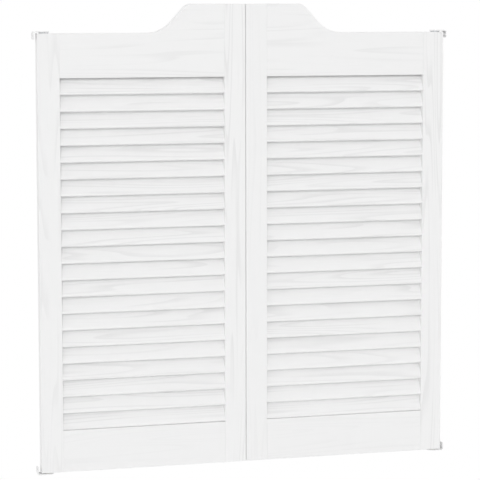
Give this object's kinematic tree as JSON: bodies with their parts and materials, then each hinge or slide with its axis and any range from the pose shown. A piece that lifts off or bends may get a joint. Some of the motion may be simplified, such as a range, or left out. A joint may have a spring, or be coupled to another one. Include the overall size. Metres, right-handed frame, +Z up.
{
  "type": "cafe swinging doors",
  "caption": "Louvred cafe swinging doors with scooped top rails, hung on sprung pivots so that each leaf swings both ways and closes itself.",
  "frame": {"origin": "below the middle of the closed pair, at mid thickness, level with the underside of the bottom brackets", "axes": "+X to the right across the doorway seen from the front, -Y towards the front (the side the slats slope down to), +Z up"},
  "size_m": [0.983, 0.0286, 1.0715],
  "materials": {
    "painted_wood": "satin white paint over pine, faint grain",
    "painted_bracket": "white powder coat",
    "bright_steel": "turned, zinc plated",
    "spring_steel": "oiled",
    "nylon": "turned nylon"
  },
  "bodies": {
    "jamb_hardware": {"bottom_brackets": "painted_bracket", "top_brackets": "painted_bracket", "pivot_pins": "bright_steel", "thrust_washers": "nylon"},
    "left_leaf": {"left_outer_stile": "painted_wood", "left_inner_stile": "painted_wood", "left_top_rail": "painted_wood", "left_bottom_rail": "painted_wood", "left_slat_01": "painted_wood", "left_slat_02": "painted_wood", "left_slat_03": "painted_wood", "left_slat_04": "painted_wood", "left_slat_05": "painted_wood", "left_slat_06": "painted_wood", "left_slat_07": "painted_wood", "left_slat_08": "painted_wood", "left_slat_09": "painted_wood", "left_slat_10": "painted_wood", "left_slat_11": "painted_wood", "left_slat_12": "painted_wood", "left_slat_13": "painted_wood", "left_slat_14": "painted_wood", "left_slat_15": "painted_wood", "left_slat_16": "painted_wood", "left_slat_17": "painted_wood", "left_slat_18": "painted_wood", "left_slat_19": "painted_wood", "left_slat_20": "painted_wood", "left_slat_21": "painted_wood", "left_pivot_sockets": "bright_steel", "left_closing_spring": "spring_steel"},
    "right_leaf": {"right_outer_stile": "painted_wood", "right_inner_stile": "painted_wood", "right_top_rail": "painted_wood", "right_bottom_rail": "painted_wood", "right_slat_01": "painted_wood", "right_slat_02": "painted_wood", "right_slat_03": "painted_wood", "right_slat_04": "painted_wood", "right_slat_05": "painted_wood", "right_slat_06": "painted_wood", "right_slat_07": "painted_wood", "right_slat_08": "painted_wood", "right_slat_09": "painted_wood", "right_slat_10": "painted_wood", "right_slat_11": "painted_wood", "right_slat_12": "painted_wood", "right_slat_13": "painted_wood", "right_slat_14": "painted_wood", "right_slat_15": "painted_wood", "right_slat_16": "painted_wood", "right_slat_17": "painted_wood", "right_slat_18": "painted_wood", "right_slat_19": "painted_wood", "right_slat_20": "painted_wood", "right_slat_21": "painted_wood", "right_pivot_sockets": "bright_steel", "right_closing_spring": "spring_steel"}
  },
  "joints": [
    {"name": "left_swing", "type": "hinge", "parent": "jamb_hardware", "child": "left_leaf", "pos_m": [-0.4655, 0, 0], "axis": [0, 0, 1], "range_deg": [-90, 90], "stiffness_Nm_per_rad": 1.5},
    {"name": "right_swing", "type": "hinge", "parent": "jamb_hardware", "child": "right_leaf", "pos_m": [0.4655, 0, 0], "axis": [0, 0, 1], "range_deg": [-90, 90], "stiffness_Nm_per_rad": 1.5}
  ]
}
